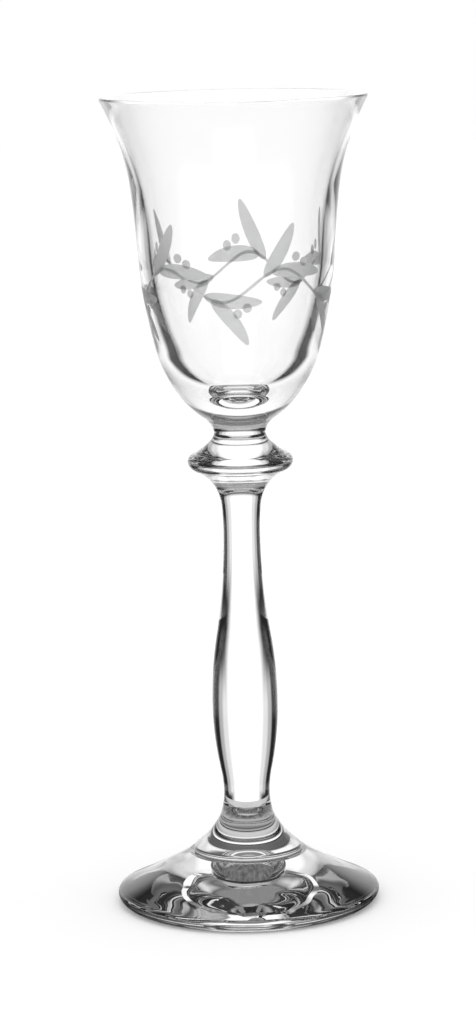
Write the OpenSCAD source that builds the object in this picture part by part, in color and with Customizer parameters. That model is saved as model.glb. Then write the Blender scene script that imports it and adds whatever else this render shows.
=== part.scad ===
// Stemmed cordial glass in clear glass, standing on its foot.
// Every piece is turned about the Z axis. The origin is the centre of the plane that the foot rests on.
// The pieces are the gathers that the real glass is built from, fused end to end on flat round joints:
// foot, lower collar, baluster stem, knop, upper collar and blown bowl.

/* [Foot] */
// Diameter of the foot at its widest
foot_d = 54.7; // [48:0.1:80]
// Height of the foot, from the table to the seat of the lower collar
foot_h = 10.5; // [8:0.1:16]
// Thickness of the foot's edge
foot_edge_t = 2.8; // [2:0.1:4]
// Diameter of the seat on top of the foot
foot_seat_d = 24.6; // [23:0.1:34]
// Distance from the widest edge in to the ring that the foot rests on
foot_rest_inset = 1.75; // [0.5:0.05:3]
// Width of the ring that the foot rests on
foot_rest_w = 1.6; // [0.8:0.1:4]
// Height of the shallow hollow under the foot
foot_hollow_h = 1.4; // [0.6:0.1:3]
// Diameter of the mouth of the kick, the domed hollow under the middle of the foot
foot_kick_d = 12.4; // [8:0.1:20]
// Height of the kick's top above the table
foot_kick_h = 7.2; // [4:0.1:9]

/* [Lower collar] */
// Height of the lower collar
foot_collar_h = 7.8; // [5:0.1:12]
// Diameter of the lower collar where it seats on the foot
foot_collar_d = 22.6; // [16:0.1:24.6]
// Height of the rounded lip at the bottom of the lower collar
foot_collar_lip_h = 1.4; // [0.6:0.1:2.4]
// How far the lip of the lower collar draws in over its height
foot_collar_lip_inset = 0.5; // [0.2:0.05:1]
// Diameter of the joint between lower collar and stem
lower_joint_d = 11.2; // [10:0.1:14]

/* [Stem] */
// Height of the stem between its two joints
stem_h = 71.2; // [66:0.1:110]
// Diameter of the lower waist of the stem
lower_waist_d = 9.6; // [7:0.1:11]
// Height of the lower waist above the bottom of the stem
lower_waist_h = 4.7; // [3:0.1:8]
// Diameter of the swell, the thickest part of the stem
swell_d = 13.7; // [11.5:0.1:18]
// Height of the swell above the bottom of the stem
swell_h = 24; // [16:0.1:34]
// Diameter of the upper waist, the thinnest part of the stem
upper_waist_d = 7.6; // [5:0.1:10]
// Distance of the upper waist below the top of the stem
upper_waist_drop = 11.2; // [6:0.1:24]
// Diameter of the joint between stem and knop
upper_joint_d = 13.4; // [10.5:0.1:17]

/* [Knop] */
// Diameter of the knop
knop_d = 21.8; // [18:0.1:30]
// Height of the knop
knop_h = 7.1; // [5:0.1:12]
// Diameter of the joint between knop and upper collar
knop_joint_d = 13.8; // [11.5:0.1:17]

/* [Upper collar] */
// Height of the upper collar
bowl_collar_h = 5.7; // [4:0.1:10]
// Diameter of the upper collar at its waist
bowl_collar_waist_d = 10.6; // [7:0.1:11.4]
// Diameter of the seat of the bowl
bowl_seat_d = 15.2; // [11.5:0.1:20]

/* [Bowl] */
// Height of the bowl, from its seat to the rim
bowl_h = 65.7; // [55:0.1:100]
// Outside diameter of the rim
rim_d = 54.6; // [46:0.1:80]
// Outside diameter of the throat, where the round belly turns into the flare
throat_d = 40.2; // [34:0.1:45]
// Height of the throat above the seat of the bowl
throat_h = 33.7; // [28:0.1:42]
// Thickness of the wall at the rim
rim_wall = 0.9; // [0.6:0.05:1.6]
// Thickness of the wall at the throat
throat_wall = 2.6; // [1.2:0.05:3.4]
// Thickness of the wall at the belly
belly_wall = 3.75; // [1.6:0.05:4.4]
// Thickness of the glass under the bowl's inside
bowl_floor_t = 4.2; // [3:0.1:7]

/* [Hidden] */
$fn = 144;
// Longest turn, in degrees, and longest length of one facet along an arc of an outline
facet_turn = 6;
facet_l = 2.5;
clear_glass = [0.86, 0.91, 0.93, 0.45];

// Heights of the joints above the table
foot_collar_z = foot_h;
stem_z = foot_collar_z + foot_collar_h;
knop_z = stem_z + stem_h;
bowl_collar_z = knop_z + knop_h;
bowl_z = bowl_collar_z + bowl_collar_h;

// Leans from the vertical, in degrees, of the wall at the throat and at the rim
throat_lean = 3.8;
rim_lean = 27;

// Headings of a line that is drawn up or down, or level away from the axis or towards it
up = 90;
down = 270;
outwards = 0;
inwards = 180;

// Sagitta of a quarter circle over its chord
quarter_share = tan(45 / 2) / 2;

// Where the foot's edge is widest, as a share of the edge's thickness
foot_widest_share = 0.64;
// How far the top of the edge draws in, as a share of the edge's thickness
foot_lip_share = 0.16;
// Bulge of each arc over its chord on the foot: lower edge, upper edge, slope of the top
foot_sag_shares = [0.12, 0.16, -0.02];

// Bulge of each arc over its chord on the lower collar: lip and flare
foot_collar_sag_shares = [0.13, -0.062];

// Where the stem's outline turns from hollow to round, along the line between waist and swell
lower_turn_share = 0.25;
upper_turn_share = 0.6;
// Where the neck leaves the upper waist for the flare: height, and then radius, of what is left
neck_h_share = 0.482;
neck_r_share = 0.083;

// Where the knop is widest, as a share of its height
knop_widest_share = 0.52;
// Corners of the knop's round edge: share of the way from joint to edge, and of the height to it
knop_under_shares = [0.7, 0.49];
knop_over_shares = [0.4, 0.47];
// Bulge of each arc over its chord on the knop: underside, lower edge, upper edge, top
knop_sag_shares = [-0.04, 0.148, 0.164, -0.023];

// Height of the upper collar's waist, as a share of its height
bowl_collar_waist_share = 0.42;
// Bulge of each arc over its chord on the upper collar: below and above its waist
bowl_collar_sag_shares = [-0.098, -0.108];

// Stations on the belly's outside: shares of the way from seat to throat, out and then up
belly_low_shares = [0.381, 0.139];
belly_high_shares = [0.744, 0.421];
// Stations on the flare's outside: shares of the way from throat to rim, out and then up
flare_low_shares = [0.181, 0.4375];
flare_high_shares = [0.673, 0.844];
// Wall of the flare at its two stations, as shares of the way from the throat's wall to the rim's
flare_wall_shares = [0.44, 0.79];
// Corner of the bowl's inside: radius over the inner belly's radius, height over the floor
floor_corner_shares = [0.684, 0.353];

// Heading, in degrees, of the line from p to q
function heading(p, q) = atan2(q.y - p.y, q.x - p.x);

// Bulge over its chord of the arc from p to q that leaves p at a given heading
function sag_from(start, p, q) = tan((heading(p, q) - start) / 2) / 2;

// Bulge over its chord of the arc from p to q that reaches q at a given heading
function sag_to(end, p, q) = tan((end - heading(p, q)) / 2) / 2;

// An arc has the same angle to its chord at both ends: its heading at the other end
function far_heading(known, p, q) = 2 * heading(p, q) - known;

// Point between p and q, with its own share of the way in each direction
function between(p, q, shares) = [p.x + shares.x * (q.x - p.x), p.y + shares.y * (q.y - p.y)];

// Station of an outline: a point, and the bulge over its chord of the arc to the next station
function station(p, sag_share = 0) = [p.x, p.y, sag_share];

// Points of the arc from p towards q, without q. A positive bulge lies on the right of p to q.
// With the arc's own half turn, a point at angle a from its middle is sin(a) along the chord from
// the middle and cos(a) less the half turn's cosine off it, in units of the arc's radius.
function arc_points(p, q, sag_share) =
    let (
        half_turn = 2 * atan(2 * sag_share),
        side = [q.y - p.y, p.x - q.x],
        steps = ceil(max(abs(2 * half_turn) / facet_turn, norm(q - p) / facet_l))
    )
    sag_share == 0 ? [p] : [
        for (i = [0 : steps - 1])
            let (a = half_turn * (2 * i / steps - 1))
            (p + q) / 2
                + ((q - p) * sin(a) + side * (cos(a) - cos(half_turn))) / (2 * sin(half_turn))
    ];

// Solid turned about the Z axis. The stations of its outline run counter-clockwise, so that an arc
// bulges outwards where its share is positive and is hollowed where it is negative.
module turned(stations) {
    count = len(stations);
    points = [for (s = stations) [s.x, s.y]];
    rotate_extrude() polygon([
        for (i = [0 : count - 1])
            each arc_points(points[i], points[(i + 1) % count], stations[i].z)
    ]);
}

// Sloped disc with a rounded edge. It rests on a narrow ring round a shallow hollow, in the middle of
// which a domed kick rises under the stem.
module foot() {
    rest_outer = [foot_d / 2 - foot_rest_inset, 0];
    rest_inner = [rest_outer.x - foot_rest_w, 0];
    widest = [foot_d / 2, foot_edge_t * foot_widest_share];
    lip = [foot_d / 2 - foot_edge_t * foot_lip_share, foot_edge_t];
    seat = [foot_seat_d / 2, foot_h];
    hollow_top = [0, foot_hollow_h];
    hollow_end = far_heading(outwards, hollow_top, rest_inner);
    kick_top = [0, foot_kick_h];
    kick_share = foot_kick_d / 2 / rest_inner.x;
    kick_mouth = [foot_kick_d / 2, foot_hollow_h * (1 - kick_share * kick_share)];
    color(clear_glass) turned([
        station(kick_top, sag_from(outwards, kick_top, kick_mouth)),
        station(kick_mouth, sag_to(hollow_end, kick_mouth, rest_inner)),
        station(rest_inner),
        station(rest_outer, foot_sag_shares[0]),
        station(widest, foot_sag_shares[1]),
        station(lip, foot_sag_shares[2]),
        station(seat),
        station([0, foot_h])]);
}

// Flared collar between foot and stem, with a rounded lip on the foot's seat.
module foot_collar() {
    base_r = foot_collar_d / 2;
    color(clear_glass) translate([0, 0, foot_collar_z]) turned([
        station([0, 0]),
        station([base_r, 0], foot_collar_sag_shares[0]),
        station([base_r - foot_collar_lip_inset, foot_collar_lip_h], foot_collar_sag_shares[1]),
        station([lower_joint_d / 2, foot_collar_h]),
        station([0, foot_collar_h])]);
}

// Baluster stem: its outline is upright at both waists and at the swell, and each stretch between
// them is a pair of arcs that meet smoothly on the straight line from one to the other.
module stem() {
    bottom = [lower_joint_d / 2, 0];
    low = [lower_waist_d / 2, lower_waist_h];
    swell = [swell_d / 2, swell_h];
    high = [upper_waist_d / 2, stem_h - upper_waist_drop];
    top = [upper_joint_d / 2, stem_h];
    low_turn = between(low, swell, [lower_turn_share, lower_turn_share]);
    high_turn = between(high, swell, [upper_turn_share, upper_turn_share]);
    neck = between(high, top, [neck_r_share, neck_h_share]);
    color(clear_glass) translate([0, 0, stem_z]) turned([
        station([0, 0]),
        station(bottom, sag_to(up, bottom, low)),
        station(low, sag_from(up, low, low_turn)),
        station(low_turn, sag_to(up, low_turn, swell)),
        station(swell, sag_from(up, swell, high_turn)),
        station(high_turn, sag_to(up, high_turn, high)),
        station(high, sag_from(up, high, neck)),
        station(neck, sag_from(far_heading(up, high, neck), neck, top)),
        station(top),
        station([0, stem_h])]);
}

// Flattened disc with a round edge.
module knop() {
    bottom = [upper_joint_d / 2, 0];
    widest = [knop_d / 2, knop_h * knop_widest_share];
    top = [knop_joint_d / 2, knop_h];
    color(clear_glass) translate([0, 0, knop_z]) turned([
        station([0, 0]),
        station(bottom, knop_sag_shares[0]),
        station(between(bottom, widest, knop_under_shares), knop_sag_shares[1]),
        station(widest, knop_sag_shares[2]),
        station(between(widest, top, knop_over_shares), knop_sag_shares[3]),
        station(top),
        station([0, knop_h])]);
}

// Waisted collar that carries the bowl.
module bowl_collar() {
    color(clear_glass) translate([0, 0, bowl_collar_z]) turned([
        station([0, 0]),
        station([knop_joint_d / 2, 0], bowl_collar_sag_shares[0]),
        station([bowl_collar_waist_d / 2, bowl_collar_h * bowl_collar_waist_share],
                bowl_collar_sag_shares[1]),
        station([bowl_seat_d / 2, bowl_collar_h]),
        station([0, bowl_collar_h])]);
}

// Blown bowl: a round belly on a thick floor, a throat and a flared rim. The outside and the inside
// are each one smooth run of arcs, and the wall thins from the floor to the fire-polished rim.
module bowl() {
    half_rim = rim_wall / 2;
    rim_centre = [rim_d / 2 - half_rim, bowl_h - half_rim];
    across_rim = half_rim * [cos(rim_lean), -sin(rim_lean)];
    over_rim = half_rim * [sin(rim_lean), cos(rim_lean)];
    seat = [bowl_seat_d / 2, 0];
    throat = [throat_d / 2, throat_h];
    rim_out = rim_centre + across_rim;
    rim_in = rim_centre - across_rim;
    belly_low = between(seat, throat, belly_low_shares);
    belly_high = between(seat, throat, belly_high_shares);
    flare_low = between(throat, rim_out, flare_low_shares);
    flare_high = between(throat, rim_out, flare_high_shares);

    // Inside stations, a wall's thickness in from the outside ones
    wall_low = throat_wall + flare_wall_shares[0] * (rim_wall - throat_wall);
    wall_high = throat_wall + flare_wall_shares[1] * (rim_wall - throat_wall);
    inner_high = flare_high - [wall_high, 0];
    inner_low = flare_low - [wall_low, 0];
    inner_throat = throat - [throat_wall, 0];
    inner_belly = belly_high - [belly_wall, 0];
    floor_centre = [0, bowl_floor_t];
    floor_corner = between(floor_centre, inner_belly, floor_corner_shares);

    // Headings of the outside where its arcs meet, drawn up from the seat
    throat_up = up - throat_lean;
    belly_high_up = far_heading(throat_up, belly_high, throat);
    belly_low_up = far_heading(belly_high_up, belly_low, belly_high);
    flare_low_up = far_heading(throat_up, throat, flare_low);
    flare_high_up = far_heading(flare_low_up, flare_low, flare_high);
    // Headings of the inside, drawn down from the rim to the level centre of the floor
    throat_down = down - throat_lean;
    inner_low_down = far_heading(throat_down, inner_low, inner_throat);
    inner_high_down = far_heading(inner_low_down, inner_high, inner_low);
    floor_corner_down = far_heading(inwards, floor_corner, floor_centre);

    color(clear_glass) translate([0, 0, bowl_z]) turned([
        station([0, 0]),
        station(seat, sag_to(belly_low_up, seat, belly_low)),
        station(belly_low, sag_to(belly_high_up, belly_low, belly_high)),
        station(belly_high, sag_to(throat_up, belly_high, throat)),
        station(throat, sag_from(throat_up, throat, flare_low)),
        station(flare_low, sag_from(flare_low_up, flare_low, flare_high)),
        station(flare_high, sag_from(flare_high_up, flare_high, rim_out)),
        station(rim_out, quarter_share),
        station(rim_centre + over_rim, quarter_share),
        station(rim_in, sag_to(inner_high_down, rim_in, inner_high)),
        station(inner_high, sag_to(inner_low_down, inner_high, inner_low)),
        station(inner_low, sag_to(throat_down, inner_low, inner_throat)),
        station(inner_throat, sag_from(throat_down, inner_throat, inner_belly)),
        station(inner_belly, sag_to(floor_corner_down, inner_belly, floor_corner)),
        station(floor_corner, sag_to(inwards, floor_corner, floor_centre)),
        station(floor_centre)]);
}

foot();
foot_collar();
stem();
knop();
bowl_collar();
bowl();
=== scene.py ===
"""Looks of a stemmed cordial glass: six turned pieces of clear glass, and a garland cut matt."""

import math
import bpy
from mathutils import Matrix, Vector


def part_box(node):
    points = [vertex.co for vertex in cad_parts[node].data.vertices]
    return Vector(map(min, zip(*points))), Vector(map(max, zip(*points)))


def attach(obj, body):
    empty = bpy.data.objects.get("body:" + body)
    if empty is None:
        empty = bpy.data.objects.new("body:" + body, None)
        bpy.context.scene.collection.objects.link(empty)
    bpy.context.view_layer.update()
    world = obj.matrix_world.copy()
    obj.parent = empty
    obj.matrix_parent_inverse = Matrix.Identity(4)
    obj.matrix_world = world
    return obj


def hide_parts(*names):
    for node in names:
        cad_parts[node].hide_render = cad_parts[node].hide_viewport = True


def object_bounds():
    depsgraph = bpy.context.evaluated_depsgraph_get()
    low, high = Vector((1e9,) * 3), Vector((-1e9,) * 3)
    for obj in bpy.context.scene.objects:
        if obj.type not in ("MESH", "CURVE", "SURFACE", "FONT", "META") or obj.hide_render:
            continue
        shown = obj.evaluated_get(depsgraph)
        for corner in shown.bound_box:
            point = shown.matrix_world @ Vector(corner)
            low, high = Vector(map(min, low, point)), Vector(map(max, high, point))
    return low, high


bl_info = {
    "name": "Cordial glass",
    "version": (1, 0, 0),
    "blender": (4, 5, 0),
    "location": "3D View > Sidebar > Cordial glass",
    "description": "Builds a stemmed cordial glass with a cut garland, and a plain stage to show it on",
    "category": "Add Mesh",
}

import bpy
import numpy as np
from bpy.props import FloatProperty, FloatVectorProperty, IntProperty, PointerProperty
from mathutils import Matrix, Vector

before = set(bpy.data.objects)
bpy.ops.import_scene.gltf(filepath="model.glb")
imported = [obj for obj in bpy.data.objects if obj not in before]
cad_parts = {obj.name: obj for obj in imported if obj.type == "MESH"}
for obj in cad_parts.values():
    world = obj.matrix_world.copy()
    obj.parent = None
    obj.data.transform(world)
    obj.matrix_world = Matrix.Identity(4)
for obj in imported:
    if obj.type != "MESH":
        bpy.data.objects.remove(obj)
CAD_LOW, CAD_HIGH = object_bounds()

MM = 0.001
FOOT_LOW, FOOT_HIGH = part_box("foot")
COLLAR_LOW, COLLAR_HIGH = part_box("foot_collar")
STEM_LOW, STEM_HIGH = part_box("stem")
KNOP_LOW, KNOP_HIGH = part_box("knop")
CARRIER_LOW, CARRIER_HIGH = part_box("bowl_collar")
BOWL_LOW, BOWL_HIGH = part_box("bowl")

# Headings, in degrees, of a line drawn up, level away from the axis, or level towards it
UP = 90
OUTWARDS = 0
INWARDS = 180
DOWN = 270
# Bulge of a quarter circle over its chord
QUARTER_SHARE = math.tan(math.radians(45 / 2)) / 2
# Finest facets along an outline, and how many go round
FACET_TURN = 3
FACET_LENGTH = 0.8 * MM
FACETS_ROUND = 240
# Edges that turn more than this stay crisp
CRISP_TURN = math.radians(24)

# Shares of each piece's own size that the photo gives: where its outline turns, out and up between two
# points, and how far its arcs bulge over their chords. They are the same as in the CAD source.
FOOT_WIDEST_SHARE = 0.64
FOOT_LIP_SHARE = 0.16
FOOT_SAGS = (0.12, 0.16, -0.02)
COLLAR_SAGS = (0.13, -0.062)
LOW_TURN_SHARES = (0.25, 0.25)
HIGH_TURN_SHARES = (0.6, 0.6)
NECK_SHARES = (0.083, 0.482)
KNOP_WIDEST_SHARE = 0.52
KNOP_UNDER_SHARES = (0.7, 0.49)
KNOP_OVER_SHARES = (0.4, 0.47)
KNOP_SAGS = (-0.04, 0.148, 0.164, -0.023)
CARRIER_WAIST_SHARE = 0.42
CARRIER_SAGS = (-0.098, -0.108)
BELLY_LOW_SHARES = (0.381, 0.139)
BELLY_HIGH_SHARES = (0.744, 0.421)
FLARE_LOW_SHARES = (0.181, 0.4375)
FLARE_HIGH_SHARES = (0.673, 0.844)
FLARE_WALL_SHARES = (0.44, 0.79)
FLOOR_CORNER_SHARES = (0.684, 0.353)
# Lean of the outline at the throat and at the rim, in degrees
THROAT_LEAN = 3.8
RIM_LEAN = 27

# Leaves and berries of one wave of the garland: side of the vine, and share of the way along the wave
LEAVES = ((1, 0.1), (-1, 0.16), (1, 0.6), (-1, 0.66))
BERRIES = ((1, 0.34), (-1, 0.84), (1, 0.42), (-1, 0.92))
LEAF_TURN = math.radians(27)
LEAF_BEND = -0.16
LEAF_BELLY = 0.35
# From the vine to a berry's middle, in berries
BERRY_STALK = 1.5
# Facets along and round a leaf or berry, and along and round the vine
LEAF_STEPS, LEAF_CORNERS = 18, 16
VINE_STEPS, VINE_CORNERS = 240, 8
# Gap between a cut and the glass under it
CUT_GAP = 0.012 * MM


def length(name, description, millimetres):
    """A size as a Blender property, with its default written in millimetres."""
    return FloatProperty(
        name=name, description=description, default=millimetres * MM, min=0, unit="LENGTH", precision=4
    )


def angle(name, description, degrees):
    """An angle as a Blender property, with its default written in degrees."""
    return FloatProperty(name=name, description=description, default=math.radians(degrees), subtype="ANGLE")


class FootSizes(bpy.types.PropertyGroup):
    """Sizes of the foot and of the collar on it."""

    diameter: length("Diameter", "Foot at its widest", (FOOT_HIGH.x - FOOT_LOW.x) / MM)
    edge: length("Edge", "Thickness of the foot's edge", 2.8)
    seat: length("Seat", "Diameter of the seat on top of the foot", 24.6)
    rest_inset: length("Rest inset", "From the widest edge in to the ring that the foot rests on", 1.75)
    rest_width: length("Rest width", "Width of the ring that the foot rests on", 1.6)
    hollow: length("Hollow", "Height of the shallow hollow under the foot", 1.4)
    kick: length("Kick", "Diameter of the kick's mouth, under the middle of the foot", 12.4)
    kick_height: length("Kick height", "Height of the kick's top above the table", 7.2)
    collar_diameter: length("Collar", "Lower collar where it seats on the foot", 22.6)
    collar_lip: length("Collar lip", "Height of the collar's rounded lip", 1.4)
    collar_lip_inset: length("Lip inset", "How far the collar's lip draws in", 0.5)
    joint: length("Stem joint", "Diameter of the joint between collar and stem", 11.2)


class StemSizes(bpy.types.PropertyGroup):
    """Sizes of the baluster stem."""

    low_waist: length("Lower waist", "Diameter of the lower waist", 9.6)
    low_waist_height: length("Lower waist height", "Height of the lower waist in the stem", 4.7)
    swell: length("Swell", "Diameter of the stem's thickest part", 13.7)
    swell_height: length("Swell height", "Height of the swell in the stem", 24)
    high_waist: length("Upper waist", "Diameter of the upper waist", 7.6)
    high_waist_drop: length("Upper waist drop", "Distance of the upper waist below the knop", 11.2)
    joint: length("Knop joint", "Diameter of the joint between stem and knop", 13.4)


class KnopSizes(bpy.types.PropertyGroup):
    """Sizes of the knop and of the collar that carries the bowl."""

    diameter: length("Diameter", "Knop at its widest", 21.8)
    joint: length("Joint", "Diameter of the joint between knop and upper collar", 13.8)
    collar_waist: length("Collar waist", "Diameter of the upper collar's waist", 10.6)


class BowlSizes(bpy.types.PropertyGroup):
    """Sizes of the bowl."""

    seat: length("Seat", "Diameter of the bowl's seat", 15.2)
    rim: length("Rim", "Outside diameter of the rim", 54.6)
    throat: length("Throat", "Outside diameter of the throat", 40.2)
    throat_height: length("Throat height", "Height of the throat above the seat", 33.7)
    rim_wall: length("Rim wall", "Thickness of the wall at the rim", 0.9)
    throat_wall: length("Throat wall", "Thickness of the wall at the throat", 2.6)
    belly_wall: length("Belly wall", "Thickness of the wall at the belly", 3.75)
    floor: length("Floor", "Thickness of the glass under the bowl's inside", 4.2)


class BandSizes(bpy.types.PropertyGroup):
    """Sizes of the garland that is cut round the bowl."""

    height: length("Height", "Height of the garland's middle above the table", 131.0)
    repeats: IntProperty(name="Repeats", description="Waves of the garland round the bowl", default=5, min=2)
    wave: length("Wave", "How far the vine swings up and down", 3.2)
    vine: length("Vine", "Width of the vine", 0.6)
    leaf: length("Leaf", "Length of a leaf", 12)
    leaf_width: length("Leaf width", "Width of a leaf", 3)
    berry: length("Berry", "Diameter of a berry", 1.9)
    relief: length("Relief", "Rise of the cut surface in the middle of a leaf", 0.06)


class GlassFinish(bpy.types.PropertyGroup):
    """Colours of the clear and of the cut glass."""

    clear: FloatVectorProperty(
        name="Clear glass", description="Tint of the clear glass", default=(1, 1, 1), min=0, max=1, subtype="COLOR"
    )
    matt: FloatVectorProperty(
        name="Cut glass",
        description="Colour of the matt cuts",
        default=(0.95, 0.96, 0.96),
        min=0,
        max=1,
        subtype="COLOR",
    )


class StageSettings(bpy.types.PropertyGroup):
    """Camera and floor."""

    azimuth: angle("Azimuth", "Where the camera stands, round the glass", 225)
    distance: length("Distance", "Level distance from the camera to the glass", 698.2)
    camera_height: length("Camera height", "Height of the camera over the table", 200.1)
    pitch: angle("Pitch", "How far the camera looks down", 9.577)
    roll: angle("Roll", "How far the picture is turned", 1.15)
    aside: angle("Aside", "How far the camera looks past the glass, to the left", 0.057)
    lens: FloatProperty(name="Lens", description="Focal length in millimetres", default=120.4, min=1)
    floor: length("Floor", "Radius of the floor", 2600)
    gap: length("Gap", "Gap between the glass and the floor", 0.02)
    # Radius of the disc that carries the table's painted shadow and painted light under the foot
    shade: length("Shade", "Radius of the part of the table that shows through the glass", 48)


# Outlines are lists of stations, counter-clockwise in radius and height: (radius, height, bulge of the
# arc to the next station over its chord, face of that stretch). A face is clear, fused to the next
# piece, or left uneven by the tool.
CLEAR, FUSED, WORKED = range(3)


def heading(p, q):
    """Heading of the line from p to q, in degrees."""
    return math.degrees(math.atan2(q[1] - p[1], q[0] - p[0]))


def sag_from(start, p, q):
    """Bulge over its chord of the arc from p to q that leaves p at the heading start."""
    return math.tan(math.radians(heading(p, q) - start) / 2) / 2


def sag_to(end, p, q):
    """Bulge over its chord of the arc from p to q that reaches q at the heading end."""
    return math.tan(math.radians(end - heading(p, q)) / 2) / 2


def far_heading(known, p, q):
    """Heading at the other end of an arc, whose angle to its chord is the same at both ends."""
    return 2 * heading(p, q) - known


def between(p, q, shares):
    """Point between p and q, with its own share of the way out and up."""
    return p[0] + shares[0] * (q[0] - p[0]), p[1] + shares[1] * (q[1] - p[1])


def station(p, sag_share=0.0, face=CLEAR):
    """Station of an outline at the point p."""
    return p[0], p[1], sag_share, face


def arc(p, q, sag_share):
    """Points of the arc from p towards q, without q: sin(a) along the chord from its middle, and cos(a)
    less the half turn's cosine off it, in units of the arc's radius, for angles a from end to end."""
    p, q = np.array(p), np.array(q)
    if sag_share == 0:
        return p[None]
    half_turn = 2 * math.atan(2 * sag_share)
    side = np.array([q[1] - p[1], p[0] - q[0]])
    steps = math.ceil(max(abs(math.degrees(2 * half_turn)) / FACET_TURN, np.linalg.norm(q - p) / FACET_LENGTH))
    a = half_turn * (2 * np.arange(steps) / steps - 1)[:, None]
    rise = np.cos(a) - math.cos(half_turn)
    return (p + q) / 2 + ((q - p) * np.sin(a) + side * rise) / (2 * math.sin(half_turn))


def traced(stations):
    """Points of an outline, and the face of each stretch between them."""
    points, faces = [], []
    for here, there in zip(stations, stations[1:]):
        stretch = arc(here[:2], there[:2], here[2])
        points.append(stretch)
        faces += [here[3]] * len(stretch)
    points.append(np.array([stations[-1][:2]]))
    return np.concatenate(points), faces


def foot_outline(sizes):
    """Sloped disc with a rounded edge. It rests on a narrow ring round a shallow hollow, in the middle of
    which a domed kick rises under the stem."""
    top = FOOT_HIGH.z
    rest_outer = (sizes.diameter / 2 - sizes.rest_inset, 0)
    rest_inner = (rest_outer[0] - sizes.rest_width, 0)
    widest = (sizes.diameter / 2, sizes.edge * FOOT_WIDEST_SHARE)
    lip = (sizes.diameter / 2 - sizes.edge * FOOT_LIP_SHARE, sizes.edge)
    seat = (sizes.seat / 2, top)
    hollow_top = (0, sizes.hollow)
    hollow_end = far_heading(OUTWARDS, hollow_top, rest_inner)
    kick_top = (0, sizes.kick_height)
    kick_share = sizes.kick / 2 / rest_inner[0]
    kick_mouth = (sizes.kick / 2, sizes.hollow * (1 - kick_share**2))
    return [
        station(kick_top, sag_from(OUTWARDS, kick_top, kick_mouth), face=WORKED),
        station(kick_mouth, sag_to(hollow_end, kick_mouth, rest_inner), face=WORKED),
        station(rest_inner),
        station(rest_outer, FOOT_SAGS[0]),
        station(widest, FOOT_SAGS[1]),
        station(lip, FOOT_SAGS[2]),
        station(seat),
        station((sizes.collar_diameter / 2, top), face=FUSED),
        station((0, top)),
    ]


def foot_collar_outline(sizes):
    """Flared collar between foot and stem, with a rounded lip on the foot's seat."""
    low, high = COLLAR_LOW.z, COLLAR_HIGH.z
    base = sizes.collar_diameter / 2
    return [
        station((0, low), face=FUSED),
        station((base, low), COLLAR_SAGS[0]),
        station((base - sizes.collar_lip_inset, low + sizes.collar_lip), COLLAR_SAGS[1]),
        station((sizes.joint / 2, high), face=FUSED),
        station((0, high)),
    ]


def stem_outline(sizes, joint):
    """Baluster: upright at both waists and at the swell, with a pair of arcs between each two of them."""
    low_z, high_z = STEM_LOW.z, STEM_HIGH.z
    bottom = (joint / 2, low_z)
    low = (sizes.low_waist / 2, low_z + sizes.low_waist_height)
    swell = (sizes.swell / 2, low_z + sizes.swell_height)
    high = (sizes.high_waist / 2, high_z - sizes.high_waist_drop)
    top = (sizes.joint / 2, high_z)
    low_turn = between(low, swell, LOW_TURN_SHARES)
    high_turn = between(high, swell, HIGH_TURN_SHARES)
    neck = between(high, top, NECK_SHARES)
    return [
        station((0, low_z), face=FUSED),
        station(bottom, sag_to(UP, bottom, low)),
        station(low, sag_from(UP, low, low_turn)),
        station(low_turn, sag_to(UP, low_turn, swell)),
        station(swell, sag_from(UP, swell, high_turn)),
        station(high_turn, sag_to(UP, high_turn, high)),
        station(high, sag_from(UP, high, neck)),
        station(neck, sag_from(far_heading(UP, high, neck), neck, top)),
        station(top, face=FUSED),
        station((0, high_z)),
    ]


def knop_outline(sizes, joint):
    """Flattened disc with a round edge."""
    low, high = KNOP_LOW.z, KNOP_HIGH.z
    bottom = (joint / 2, low)
    widest = (sizes.diameter / 2, low + KNOP_WIDEST_SHARE * (high - low))
    top = (sizes.joint / 2, high)
    return [
        station((0, low), face=FUSED),
        station(bottom, KNOP_SAGS[0]),
        station(between(bottom, widest, KNOP_UNDER_SHARES), KNOP_SAGS[1]),
        station(widest, KNOP_SAGS[2]),
        station(between(widest, top, KNOP_OVER_SHARES), KNOP_SAGS[3]),
        station(top, face=FUSED),
        station((0, high)),
    ]


def bowl_collar_outline(sizes, seat):
    """Waisted collar that carries the bowl."""
    low, high = CARRIER_LOW.z, CARRIER_HIGH.z
    waist = (sizes.collar_waist / 2, low + CARRIER_WAIST_SHARE * (high - low))
    return [
        station((0, low), face=FUSED),
        station((sizes.joint / 2, low), CARRIER_SAGS[0]),
        station(waist, CARRIER_SAGS[1]),
        station((seat / 2, high), face=FUSED),
        station((0, high)),
    ]


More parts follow.
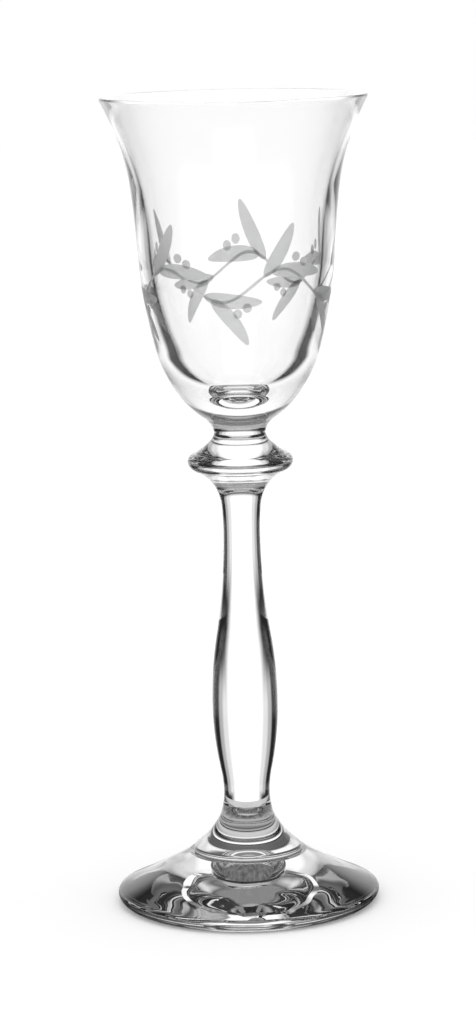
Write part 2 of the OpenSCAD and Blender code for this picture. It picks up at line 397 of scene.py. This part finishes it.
def bowl_outline(sizes):
    """Round belly on a thick floor, a throat and a flared rim. The outside and the inside are each one
    smooth run of arcs, and the wall thins from the floor to the fire-polished rim."""
    low, high = BOWL_LOW.z, BOWL_HIGH.z
    rim_lean = math.radians(RIM_LEAN)
    half_rim = sizes.rim_wall / 2
    rim_centre = np.array([sizes.rim / 2 - half_rim, high - half_rim])
    across_rim = half_rim * np.array([math.cos(rim_lean), -math.sin(rim_lean)])
    over_rim = half_rim * np.array([math.sin(rim_lean), math.cos(rim_lean)])
    seat = (sizes.seat / 2, low)
    throat = (sizes.throat / 2, low + sizes.throat_height)
    rim_out = rim_centre + across_rim
    rim_in = rim_centre - across_rim
    belly_low = between(seat, throat, BELLY_LOW_SHARES)
    belly_high = between(seat, throat, BELLY_HIGH_SHARES)
    flare_low = between(throat, rim_out, FLARE_LOW_SHARES)
    flare_high = between(throat, rim_out, FLARE_HIGH_SHARES)

    thinning = sizes.rim_wall - sizes.throat_wall
    inner_high = (flare_high[0] - sizes.throat_wall - FLARE_WALL_SHARES[1] * thinning, flare_high[1])
    inner_low = (flare_low[0] - sizes.throat_wall - FLARE_WALL_SHARES[0] * thinning, flare_low[1])
    inner_throat = (throat[0] - sizes.throat_wall, throat[1])
    inner_belly = (belly_high[0] - sizes.belly_wall, belly_high[1])
    floor_centre = (0, low + sizes.floor)
    floor_corner = between(floor_centre, inner_belly, FLOOR_CORNER_SHARES)

    throat_up = UP - THROAT_LEAN
    belly_high_up = far_heading(throat_up, belly_high, throat)
    belly_low_up = far_heading(belly_high_up, belly_low, belly_high)
    flare_low_up = far_heading(throat_up, throat, flare_low)
    flare_high_up = far_heading(flare_low_up, flare_low, flare_high)
    throat_down = DOWN - THROAT_LEAN
    inner_low_down = far_heading(throat_down, inner_low, inner_throat)
    inner_high_down = far_heading(inner_low_down, inner_high, inner_low)
    floor_corner_down = far_heading(INWARDS, floor_corner, floor_centre)
    return [
        station((0, low), face=FUSED),
        station(seat, sag_to(belly_low_up, seat, belly_low)),
        station(belly_low, sag_to(belly_high_up, belly_low, belly_high)),
        station(belly_high, sag_to(throat_up, belly_high, throat)),
        station(throat, sag_from(throat_up, throat, flare_low)),
        station(flare_low, sag_from(flare_low_up, flare_low, flare_high)),
        station(flare_high, sag_from(flare_high_up, flare_high, rim_out)),
        station(rim_out, QUARTER_SHARE),
        station(rim_centre + over_rim, QUARTER_SHARE),
        station(rim_in, sag_to(inner_high_down, rim_in, inner_high)),
        station(inner_high, sag_to(inner_low_down, inner_high, inner_low)),
        station(inner_low, sag_to(throat_down, inner_low, inner_throat)),
        station(inner_throat, sag_from(throat_down, inner_throat, inner_belly)),
        station(inner_belly, sag_to(floor_corner_down, inner_belly, floor_corner)),
        station(floor_corner, sag_to(INWARDS, floor_corner, floor_centre)),
        station(floor_centre),
    ]


def skin(rings, ends):
    """Surface over a grid of rings. Each ring is closed, and ends are the two points that close the
    surface at its first and last ring, or None where the last ring meets the first.
    Returns the points, and the faces as a list of corner rows."""
    count, around = rings.shape[:2]
    points = rings.reshape(-1, 3)
    ring = np.arange(count * around).reshape(count, around)
    if ends is None:
        ring = np.concatenate([ring, ring[:1]])
    here, there = ring[:-1], ring[1:]
    quads = np.stack([here, np.roll(here, -1, 1), np.roll(there, -1, 1), there], -1).reshape(-1, 4)
    if ends is None:
        return points, [quads]
    first, last = len(points), len(points) + 1
    start, end = ring[0], ring[-1]
    fan_start = np.stack([np.full(around, first), np.roll(start, -1), start], -1)
    fan_end = np.stack([start * 0 + last, end, np.roll(end, -1)], -1)
    return np.concatenate([points, ends]), [fan_start, quads, fan_end]


def mesh_object(name, points, face_sets, materials):
    """New smooth piece from points in the row frame, riding on the one rigid body of the glass."""
    mesh = bpy.data.meshes.new(name)
    mesh.from_pydata(points, [], [face.tolist() for faces in face_sets for face in faces])
    for material in materials:
        mesh.materials.append(material)
    mesh.shade_smooth()
    mesh.set_sharp_from_angle(angle=CRISP_TURN)
    piece = bpy.data.objects.new(name, mesh)
    bpy.context.scene.collection.objects.link(piece)
    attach(piece, "root")
    return piece


def turned(name, node, stations, materials):
    """Piece turned about the Z axis: a point at radius r and height z goes to (r cos a, r sin a, z) for
    angles a round the axis. It stands for the CAD node, and its fused faces let light straight through."""
    outline, faces = traced(stations)
    a = np.linspace(0, 2 * math.pi, FACETS_ROUND, endpoint=False)
    r, z = outline[1:-1, 0, None], outline[1:-1, 1, None]
    rings = np.stack([r * np.cos(a), r * np.sin(a), z + 0 * a], -1)
    ends = np.array([[0, 0, outline[0, 1]], [0, 0, outline[-1, 1]]])
    points, face_sets = skin(rings, ends)
    piece = mesh_object(name, points, face_sets, materials)
    slots = np.repeat(np.array(faces, np.int32), FACETS_ROUND)
    piece.data.polygons.foreach_set("material_index", slots)
    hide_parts(node)


# Materials


def new_material(name):
    """Material with its node tree and the shader in it."""
    material = bpy.data.materials.new(name)
    material.use_nodes = True
    return material, material.node_tree.nodes, material.node_tree.links


def ranged(nodes, links, value, start, end, low=0, high=1, smooth=True):
    """Value that goes from low to high while another goes from start to end, smoothly or evenly."""
    node = nodes.new("ShaderNodeMapRange")
    node.interpolation_type = "SMOOTHSTEP" if smooth else "LINEAR"
    node.inputs["From Min"].default_value = start
    node.inputs["From Max"].default_value = end
    node.inputs["To Min"].default_value = low
    node.inputs["To Max"].default_value = high
    links.new(value, node.inputs["Value"])
    return node.outputs["Result"]


# The renderer follows four reflections in the glass: the fourth starts at depth 3, and what is left of it
# comes to a wall at depth 4
LAST_REFLECTION = 3.5
# Roughness of the cuts from stroke to stroke, and how dark their darkest strokes are
MATT_ROUGHNESS = (0.3, 0.5)
DARK_STROKE = 0.82


def polished_glass():
    """Clear colourless glass. Faint striae, left from gathering and shaping it hot, bend the light."""
    material, nodes, links = new_material("polished_glass")
    shader = nodes["Principled BSDF"]
    shader.inputs["Base Color"].default_value = (*bpy.context.scene.cordial_finish.clear, 1)
    shader.inputs["Roughness"].default_value = 0
    shader.inputs["IOR"].default_value = 1.52
    shader.inputs["Transmission Weight"].default_value = 1
    place = nodes.new("ShaderNodeTexCoord")
    drawn = nodes.new("ShaderNodeMapping")
    drawn.inputs["Scale"].default_value = (1, 1, 0.45)
    striae = nodes.new("ShaderNodeTexNoise")
    striae.inputs["Scale"].default_value = 130
    striae.inputs["Detail"].default_value = 1
    bump = nodes.new("ShaderNodeBump")
    bump.inputs["Strength"].default_value = 0.25
    bump.inputs["Distance"].default_value = 0.08 * MM
    links.new(place.outputs["Object"], drawn.inputs["Vector"])
    links.new(drawn.outputs["Vector"], striae.inputs["Vector"])
    links.new(striae.outputs["Fac"], bump.inputs["Height"])
    links.new(bump.outputs["Normal"], shader.inputs["Normal"])
    return material


def bright_glass():
    """Polished glass that lets light out, straight on, after the last reflection in its walls that the
    renderer follows. In real glass that light finds its way out, and here it would turn black."""
    material = polished_glass()
    material.name = "bright_glass"
    nodes, links = material.node_tree.nodes, material.node_tree.links
    path = nodes.new("ShaderNodeLightPath")
    kept = nodes.new("ShaderNodeMath")
    kept.operation = "LESS_THAN"
    kept.inputs[1].default_value = LAST_REFLECTION
    links.new(path.outputs["Glossy Depth"], kept.inputs[0])
    links.new(kept.outputs[0], nodes["Principled BSDF"].inputs["Alpha"])
    return material


def worked_glass():
    """Polished glass under the foot, left uneven by the tool."""
    material = polished_glass()
    material.name = "worked_glass"
    nodes = material.node_tree.nodes
    nodes["Noise Texture"].inputs["Scale"].default_value = 90
    nodes["Bump"].inputs["Strength"].default_value = 1
    nodes["Bump"].inputs["Distance"].default_value = 0.6 * MM
    nodes["Mapping"].inputs["Location"].default_value = (0.071, 0.033, 0.02)
    return material


def fused_faces():
    """Faces inside the fused glass, which don't show."""
    material, nodes, _ = new_material("fused_faces")
    nodes["Principled BSDF"].inputs["Alpha"].default_value = 0
    return material


def matt_glass():
    """Glass left matt by the engraver's wheel, with fine strokes along each cut."""
    material, nodes, links = new_material("matt_glass")
    shader = nodes["Principled BSDF"]
    shader.inputs["IOR"].default_value = 1.45
    shader.inputs["Transmission Weight"].default_value = 0.8
    place = nodes.new("ShaderNodeUVMap")
    along = nodes.new("ShaderNodeMapping")
    along.inputs["Scale"].default_value = (1.2, 5, 1)
    strokes = nodes.new("ShaderNodeTexNoise")
    strokes.inputs["Scale"].default_value = 2.4
    strokes.inputs["Detail"].default_value = 2
    colour = nodes.new("ShaderNodeMix")
    colour.data_type = "RGBA"
    matt = bpy.context.scene.cordial_finish.matt
    colour.inputs["A"].default_value = (*(c * DARK_STROKE for c in matt), 1)
    colour.inputs["B"].default_value = (*matt, 1)
    rough = ranged(nodes, links, strokes.outputs["Fac"], 0, 1, *MATT_ROUGHNESS, smooth=False)
    links.new(place.outputs["UV"], along.inputs["Vector"])
    links.new(along.outputs["Vector"], strokes.inputs["Vector"])
    links.new(strokes.outputs["Fac"], colour.inputs["Factor"])
    links.new(colour.outputs["Result"], shader.inputs["Base Color"])
    links.new(rough, shader.inputs["Roughness"])
    return material


def glass_faces(clear=bright_glass):
    """Materials of a turned piece, in the order of the faces of an outline."""
    makers = (clear, fused_faces, worked_glass)
    return [bpy.data.materials.get(make.__name__) or make() for make in makers]


# Garland


def on_bowl(along, height, lift):
    """Points on the outside of the bowl: along is the way round it at the garland's middle, height is
    over the table, and lift is off the glass."""
    outline, _ = traced(bowl_outline(bpy.context.scene.cordial_bowl))
    outside = outline[1 : int(np.argmax(outline[:, 1]))]
    r = np.interp(height, outside[:, 1], outside[:, 0])
    middle = np.interp(bpy.context.scene.cordial_band.height, outside[:, 1], outside[:, 0])
    a = along / middle
    return np.stack([(r + lift) * np.cos(a), (r + lift) * np.sin(a), height], -1)


def bowl_girth():
    """Way round the bowl at the garland's middle."""
    edge = on_bowl(np.zeros(1), np.array([bpy.context.scene.cordial_band.height]), 0)[0]
    return 2 * math.pi * edge[0]


def lens_section(relief, corners):
    """Section of a cut, as shares across it from -1 to 1 and lifts: a flat back a hair off the glass, and
    a front that rises as a parabola."""
    turn = np.linspace(0, 2 * math.pi, corners, endpoint=False)
    across = np.cos(turn)
    front = np.where(np.sin(turn) > 0, 1 - across**2, 0)
    return across, CUT_GAP + relief * front


def blade(start, turn, size, width, bend, belly):
    """One leaf or berry on the bowl: its middle runs from start for size in the direction turn and bends
    aside, and its half width is width times the sine of the way along, fuller towards its base by belly."""
    band = bpy.context.scene.cordial_band
    k = np.linspace(0, 1, LEAF_STEPS + 1)[1:-1]
    s = (1 - np.cos(math.pi * k)) / 2
    half = width / 2 * np.sin(math.pi * k) * (1 + belly * (0.5 - s))
    path = np.stack([s * size, bend * size * s * (1 - s)], -1)
    normal = np.stack([-bend * (1 - 2 * s), np.ones_like(s)], -1)
    normal /= np.linalg.norm(normal, axis=1)[:, None]
    across, lift = lens_section(band.relief, LEAF_CORNERS)
    flat = path[:, None] + (half[:, None] * across)[..., None] * normal[:, None]
    spin = np.array([[math.cos(turn), math.sin(turn)], [-math.sin(turn), math.cos(turn)]])
    flat = flat @ spin + start
    tips = np.array([[0, 0], [size, 0]]) @ spin + start
    rise = np.sin(math.pi * k)[:, None] * (lift - lift.min()) + lift.min()
    rings = on_bowl(flat[..., 0], flat[..., 1], rise)
    ends = on_bowl(tips[:, 0], tips[:, 1], lift.min())
    return skin(rings, ends)


def joined(parts):
    """Points and faces of several surfaces as one."""
    points, face_sets, count = [], [], 0
    for part_points, part_faces in parts:
        points.append(part_points)
        face_sets += [faces + count for faces in part_faces]
        count += len(part_points)
    return np.concatenate(points), face_sets


def vine_line(along):
    """Height of the vine over the table: a sine wave round the bowl."""
    band = bpy.context.scene.cordial_band
    return band.height + band.wave * np.sin(2 * math.pi * band.repeats * along / bowl_girth())


def vine():
    """Narrow line that follows the wave right round the bowl."""
    band = bpy.context.scene.cordial_band
    girth = bowl_girth()
    along = np.linspace(0, girth, VINE_STEPS, endpoint=False)[:, None]
    across, lift = lens_section(band.relief / 2, VINE_CORNERS)
    slope = np.gradient(vine_line(along[:, 0]), along[1, 0])[:, None]
    lean = np.hypot(1, slope)
    u = along - across * band.vine / 2 * slope / lean
    v = vine_line(along) + across * band.vine / 2 / lean
    return skin(on_bowl(u, v, lift + 0 * u), None)


def along_uv(piece, length_scale):
    """UV map of a cut piece: the way round the bowl and up it, in leaf lengths."""
    mesh = piece.data
    layer = mesh.uv_layers.new(name="UVMap")
    corners = np.empty(len(mesh.loops), np.int32)
    mesh.loops.foreach_get("vertex_index", corners)
    points = np.empty(len(mesh.vertices) * 3, np.float32)
    mesh.vertices.foreach_get("co", points)
    points = points.reshape(-1, 3)[corners]
    girth = bowl_girth()
    u = (np.arctan2(points[:, 1], points[:, 0]) / (2 * math.pi) + 0.5) * girth / length_scale
    layer.data.foreach_set("uv", np.stack([u, points[:, 2] / length_scale], -1).ravel())


# Stage


class LightMap:
    """Builds the world's brightness from panels of the studio, each a patch of directions."""

    def __init__(self, nodes, links, azimuth):
        self.nodes, self.links = nodes, links
        place = nodes.new("ShaderNodeTexCoord")
        turn = nodes.new("ShaderNodeMapping")
        turn.inputs["Rotation"].default_value = (0, 0, -azimuth)
        part = nodes.new("ShaderNodeSeparateXYZ")
        links.new(place.outputs["Generated"], turn.inputs["Vector"])
        links.new(turn.outputs["Vector"], part.inputs["Vector"])
        self.aside = self.math("ABSOLUTE", self.math("ARCTAN2", part.outputs["X"], part.outputs["Y"]))
        self.up = self.math("ARCSINE", part.outputs["Z"])

    def math(self, operation, *values):
        """One sum with these inputs, which are sockets or numbers."""
        node = self.nodes.new("ShaderNodeMath")
        node.operation = operation
        for socket, value in zip(node.inputs, values):
            if isinstance(value, (int, float)):
                socket.default_value = value
            else:
                self.links.new(value, socket)
        return node.outputs[0]

    def step(self, value, low, high):
        """Smooth step from 0 to 1 as value goes from low to high degrees."""
        return ranged(self.nodes, self.links, value, math.radians(low), math.radians(high))

    def panel(self, level, aside, up, soft):
        """Patch of one brightness. Aside and up are its ends in degrees, from the line through the camera
        and the glass and from the horizon, and soft is half the width of its edge."""
        sides = []
        for value, (low, high) in ((self.aside, aside), (self.up, up)):
            if low is not None:
                sides.append(self.step(value, low - soft, low + soft))
            if high is not None:
                sides.append(self.math("SUBTRACT", 1.0, self.step(value, high - soft, high + soft)))
        shade = level
        for side in sides:
            shade = self.math("MULTIPLY", side, shade)
        return shade


# Panels of the studio: brightness, ends aside, ends up, and half the width of the soft edge
BACKDROP = (1.16, (None, 28), (-64, 24), 8.5)
BACKDROP_SIDES = (0.85, (None, 36), (-18, 24), 6)
BACKDROP_EDGES = (0.5, (None, 43.5), (-18, 24), 3.5)
UPPER_WALL = (0.24, (None, 45), (28, None), 8)
SIDE_WALLS = (0.02, (35, None), (None, 40), 8)
REAR_WINDOWS = (0.8, (113, 157), (-24, 6), 6)
TABLE_END = (0.85, (157, None), (-48, -1), 6)
CEILING = (0.45, (None, None), (56, None), 10)
PANELS = (BACKDROP, BACKDROP_SIDES, BACKDROP_EDGES, UPPER_WALL, SIDE_WALLS, REAR_WINDOWS, TABLE_END, CEILING)
# Brightness of the studio between its panels, and of the room that lights the matt surfaces
DIM = 0.012
ROOM = 0.85
# Painted light and shadow of the table as it shows through the glass, behind the foot and before it, by the way
# out from the middle in millimetres: painted shadow of the foot before it, painted light gathered behind it
PAINTED_LIGHT_BEHIND_FOOT = ((0, 0.22), (7, 0.22), (13, 0.7), (20, 0.7), (23.5, 0.15), (27, 0.2), (31, 1))
PAINTED_SHADOW_BEFORE_FOOT = ((0, 0.22), (7, 0.22), (14, 0.3), (20, 0.05), (29, 0.05), (46, 1))
# From the painted shadow before the foot to the painted light behind it: where the one gives way to the other,
# along the line from the camera
PAINTED_SHADOW_TO_LIGHT = (-8 * MM, 12 * MM)
# From full painted caustic streaks to none, by the way out
CAUSTIC_STREAKS_FADE = (8 * MM, 16 * MM)
# Noise from the darkest painted caustic streak to the palest, and the share of the table's painted brightness that
# each has
CAUSTIC_STREAK_NOISE = (0.3, 0.7)
CAUSTIC_STREAK_LEVELS = (0.3, 1)
# What the table gives off towards the camera, to show as white
TABLE_GLOW = 0.12
ROUND_TABLE = {"vertices": 96, "fill_type": "NGON"}
LAMP_WIDTH = math.radians(50)
LAMP_POWER = 0.8


def studio_world(azimuth):
    """World whose panels show in the glass and in its reflections. Straight into the camera it is white,
    and matt surfaces get an even light."""
    world = bpy.data.worlds.new("studio")
    bpy.context.scene.world = world
    world.use_nodes = True
    nodes, links = world.node_tree.nodes, world.node_tree.links
    nodes.clear()
    light = LightMap(nodes, links, azimuth)
    brightest = DIM
    for panel in PANELS:
        brightest = light.math("MAXIMUM", light.panel(*panel), brightest)
    path = nodes.new("ShaderNodeLightPath")
    glassy = light.math("MAXIMUM", path.outputs["Is Glossy Ray"], path.outputs["Is Transmission Ray"])
    even = light.math("SUBTRACT", 1.0, glassy)
    even = light.math("MULTIPLY", even, ROOM)
    shown = light.math("MULTIPLY_ADD", glassy, brightest, even)
    strength = light.math("MAXIMUM", path.outputs["Is Camera Ray"], shown)
    background = nodes.new("ShaderNodeBackground")
    background.inputs["Color"].default_value = (1, 1, 1, 1)
    output = nodes.new("ShaderNodeOutputWorld")
    links.new(strength, background.inputs["Strength"])
    links.new(background.outputs["Background"], output.inputs["Surface"])


def floor_material():
    """Plain white table top. It glows a little towards the camera, so that it shows as white, and keeps
    the shadow of the glass."""
    material, nodes, links = new_material("table_top")
    shader = nodes["Principled BSDF"]
    shader.inputs["Base Color"].default_value = (0.86, 0.86, 0.86, 1)
    shader.inputs["Roughness"].default_value = 1
    shader.inputs["Specular IOR Level"].default_value = 0
    shader.inputs["Emission Color"].default_value = (1, 1, 1, 1)
    path = nodes.new("ShaderNodeLightPath")
    glow = nodes.new("ShaderNodeMath")
    glow.operation = "MULTIPLY"
    glow.inputs[1].default_value = TABLE_GLOW
    links.new(path.outputs["Is Camera Ray"], glow.inputs[0])
    links.new(glow.outputs[0], shader.inputs["Emission Strength"])
    return material


def shade_ramp(nodes, links, way_out, stops, shade):
    """Painted light and shadow of the table from stops, by the way out from its middle, which comes as a share of
    shade.
    """
    ramp = nodes.new("ShaderNodeValToRGB")
    ramp.color_ramp.interpolation = "EASE"
    while len(ramp.color_ramp.elements) < len(stops):
        ramp.color_ramp.elements.new(1)
    for stop, (r, level) in zip(ramp.color_ramp.elements, stops):
        stop.position = r * MM / shade
        stop.color = (level, level, level, 1)
    links.new(way_out, ramp.inputs["Fac"])
    return ramp.outputs["Color"]


def table_painted_light_and_shade(stage):
    """Table top under and round the foot as it shows through the glass, with painted shadow and painted light:
    dull and streaked with painted caustics under the kick, darker with the foot's painted shadow towards the
    camera, and lighter behind with painted light, where the foot gathers light from the backdrop. The painted
    caustic streaks run from the camera away, and fade out round the kick."""
    material, nodes, links = new_material("table_painted_light_and_shade")
    nodes.remove(nodes["Principled BSDF"])
    place = nodes.new("ShaderNodeTexCoord")
    turn = nodes.new("ShaderNodeMapping")
    turn.inputs["Rotation"].default_value = (0, 0, -stage.azimuth)
    drawn = nodes.new("ShaderNodeMapping")
    drawn.inputs["Scale"].default_value = (1, 0.2, 1)
    caustic_streaks = nodes.new("ShaderNodeTexNoise")
    caustic_streaks.inputs["Scale"].default_value = 1100
    caustic_streaks.inputs["Detail"].default_value = 2
    links.new(place.outputs["Object"], turn.inputs["Vector"])
    links.new(turn.outputs["Vector"], drawn.inputs["Vector"])
    links.new(drawn.outputs["Vector"], caustic_streaks.inputs["Vector"])
    reach = nodes.new("ShaderNodeVectorMath")
    reach.operation = "LENGTH"
    links.new(turn.outputs["Vector"], reach.inputs[0])
    way_out = ranged(nodes, links, reach.outputs["Value"], 0, stage.shade, smooth=False)
    part = nodes.new("ShaderNodeSeparateXYZ")
    links.new(turn.outputs["Vector"], part.inputs["Vector"])
    # Painted shadow of the foot before it, giving way to painted light behind it
    level = nodes.new("ShaderNodeMix")
    level.data_type = "RGBA"
    links.new(ranged(nodes, links, part.outputs["Y"], *PAINTED_SHADOW_TO_LIGHT), level.inputs["Factor"])
    links.new(shade_ramp(nodes, links, way_out, PAINTED_SHADOW_BEFORE_FOOT, stage.shade), level.inputs["A"])
    links.new(shade_ramp(nodes, links, way_out, PAINTED_LIGHT_BEHIND_FOOT, stage.shade), level.inputs["B"])
    # Painted caustic streaks, fading out round the kick
    faded = nodes.new("ShaderNodeMix")
    faded.inputs["B"].default_value = 0.5
    links.new(ranged(nodes, links, reach.outputs["Value"], *CAUSTIC_STREAKS_FADE), faded.inputs["Factor"])
    links.new(caustic_streaks.outputs["Fac"], faded.inputs["A"])
    caustic_streak_light = ranged(nodes, links, faded.outputs["Result"], *CAUSTIC_STREAK_NOISE, *CAUSTIC_STREAK_LEVELS, smooth=False)
    # Glow that paints the light and shade of the table; it is no lamp
    glow = nodes.new("ShaderNodeEmission")
    links.new(level.outputs["Result"], glow.inputs["Color"])
    links.new(caustic_streak_light, glow.inputs["Strength"])
    links.new(glow.outputs["Emission"], nodes["Material Output"].inputs["Surface"])
    return material


def camera_at(stage):
    """Camera on the photographed side: it looks at the glass, a little down and past it, with some roll."""
    camera = bpy.data.cameras.new("camera")
    camera.lens = stage.lens
    camera.sensor_width = 36
    holder = bpy.data.objects.new("camera", camera)
    bpy.context.scene.collection.objects.link(holder)
    bpy.context.scene.camera = holder
    a = stage.azimuth
    level = Vector((-math.sin(a), math.cos(a), 0))
    look = Matrix.Rotation(stage.aside, 3, "Z") @ (level * math.cos(stage.pitch))
    look.z = -math.sin(stage.pitch)
    right = look.cross(Vector((0, 0, 1))).normalized()
    upright = right.cross(look)
    turn = Matrix((right, upright, -look)).transposed() @ Matrix.Rotation(-stage.roll, 3, "Z")
    holder.matrix_world = Matrix.Translation(
        -level * stage.distance + Vector((0, 0, stage.camera_height))
    ) @ turn.to_4x4()


# Operators, one for each piece or group of like pieces, and one for the stage


class CORDIAL_OT_foot(bpy.types.Operator):
    """Turn the foot and the collar on it"""

    bl_idname = "cordial.foot"
    bl_label = "Foot"

    def execute(self, context):
        sizes = context.scene.cordial_foot
        turned("glass_foot", "foot", foot_outline(sizes), glass_faces(polished_glass))
        turned("glass_foot_collar", "foot_collar", foot_collar_outline(sizes), glass_faces())
        return {"FINISHED"}


class CORDIAL_OT_stem(bpy.types.Operator):
    """Turn the baluster stem"""

    bl_idname = "cordial.stem"
    bl_label = "Stem"

    def execute(self, context):
        scene = context.scene
        turned("glass_stem", "stem", stem_outline(scene.cordial_stem, scene.cordial_foot.joint), glass_faces())
        return {"FINISHED"}


class CORDIAL_OT_knop(bpy.types.Operator):
    """Turn the knop and the collar that carries the bowl"""

    bl_idname = "cordial.knop"
    bl_label = "Knop"

    def execute(self, context):
        scene = context.scene
        sizes = scene.cordial_knop
        turned("glass_knop", "knop", knop_outline(sizes, scene.cordial_stem.joint), glass_faces())
        outline = bowl_collar_outline(sizes, scene.cordial_bowl.seat)
        turned("glass_bowl_collar", "bowl_collar", outline, glass_faces())
        return {"FINISHED"}


class CORDIAL_OT_bowl(bpy.types.Operator):
    """Turn the bowl"""

    bl_idname = "cordial.bowl"
    bl_label = "Bowl"

    def execute(self, context):
        turned("glass_bowl", "bowl", bowl_outline(context.scene.cordial_bowl), glass_faces())
        return {"FINISHED"}


class CORDIAL_OT_garland(bpy.types.Operator):
    """Cut the garland: a waved vine with leaves in pairs and berries between them"""

    bl_idname = "cordial.garland"
    bl_label = "Garland"

    def execute(self, context):
        band = context.scene.cordial_band
        matt = bpy.data.materials.get("matt_glass") or matt_glass()
        girth = bowl_girth()
        wave = girth / band.repeats
        leaves, berries = [], []
        for repeat in range(band.repeats):
            for way, at in LEAVES:
                along = (repeat + at) * wave
                start = np.array([along, float(vine_line(along))])
                slope = math.cos(2 * math.pi * at) * band.wave * 2 * math.pi / wave
                turn = math.atan(slope) + way * LEAF_TURN
                leaves.append(blade(start, turn, band.leaf, band.leaf_width, way * LEAF_BEND, LEAF_BELLY))
            for way, at in BERRIES:
                along = (repeat + at) * wave
                start = np.array([along, float(vine_line(along)) + way * BERRY_STALK * band.berry])
                berries.append(blade(start, 0, band.berry, band.berry, 0, 0))
        for name, parts in (("cut_vine", [vine()]), ("cut_leaves", leaves), ("cut_berries", berries)):
            piece = mesh_object(name, *joined(parts), [matt])
            along_uv(piece, band.leaf)
        return {"FINISHED"}


class CORDIAL_OT_stage(bpy.types.Operator):
    """Set up the table top, the studio light and the camera"""

    bl_idname = "cordial.stage"
    bl_label = "Stage"

    def execute(self, context):
        stage = context.scene.cordial_stage
        under = CAD_LOW.z - stage.gap
        bpy.ops.mesh.primitive_circle_add(radius=stage.floor, location=(0, 0, under), **ROUND_TABLE)
        table = context.object
        table.name = "table_top"
        table.data.materials.append(floor_material())
        table.visible_glossy = False
        table.visible_transmission = False
        # Disc of painted shadow and painted caustic light under the foot, which shows only in and through the
        # glass
        under = CAD_LOW.z - stage.gap / 2
        bpy.ops.mesh.primitive_circle_add(radius=stage.shade, location=(0, 0, under), **ROUND_TABLE)
        shade = context.object
        shade.name = "table_painted_light_and_shade"
        shade.data.materials.append(table_painted_light_and_shade(stage))
        shade.visible_camera = shade.visible_diffuse = shade.visible_shadow = False
        studio_world(stage.azimuth)
        lamp = bpy.data.lights.new("softbox", "SUN")
        lamp.angle = LAMP_WIDTH
        lamp.energy = LAMP_POWER
        holder = bpy.data.objects.new("softbox", lamp)
        holder.visible_glossy = False
        holder.visible_transmission = False
        context.scene.collection.objects.link(holder)
        camera_at(stage)
        context.scene.view_settings.view_transform = "Standard"
        return {"FINISHED"}


class CORDIAL_PT_panel(bpy.types.Panel):
    """Buttons and sizes of the cordial glass"""

    bl_label = "Cordial glass"
    bl_idname = "CORDIAL_PT_panel"
    bl_space_type = "VIEW_3D"
    bl_region_type = "UI"
    bl_category = "Cordial glass"

    def draw(self, context):
        for operator in OPERATORS:
            self.layout.operator(operator.bl_idname)
        for name in SETTINGS:
            box = self.layout.box()
            settings = getattr(context.scene, name)
            for size in type(settings).__annotations__:
                box.prop(settings, size)


SETTINGS = {
    "cordial_foot": FootSizes,
    "cordial_stem": StemSizes,
    "cordial_knop": KnopSizes,
    "cordial_bowl": BowlSizes,
    "cordial_band": BandSizes,
    "cordial_finish": GlassFinish,
    "cordial_stage": StageSettings,
}
OPERATORS = (
    CORDIAL_OT_foot,
    CORDIAL_OT_stem,
    CORDIAL_OT_knop,
    CORDIAL_OT_bowl,
    CORDIAL_OT_garland,
    CORDIAL_OT_stage,
)


def register():
    """Register the settings, the operators and the panel."""
    for cls in (*SETTINGS.values(), *OPERATORS, CORDIAL_PT_panel):
        bpy.utils.register_class(cls)
    for name, cls in SETTINGS.items():
        setattr(bpy.types.Scene, name, PointerProperty(type=cls))


def unregister():
    """Take them away again."""
    for name in SETTINGS:
        delattr(bpy.types.Scene, name)
    for cls in (CORDIAL_PT_panel, *reversed(OPERATORS), *reversed(SETTINGS.values())):
        bpy.utils.unregister_class(cls)


def main():
    """Build the glass and its stage."""
    register()
    bpy.ops.cordial.foot()
    bpy.ops.cordial.stem()
    bpy.ops.cordial.knop()
    bpy.ops.cordial.bowl()
    bpy.ops.cordial.garland()
    bpy.ops.cordial.stage()


if __name__ == "__main__":
    main()
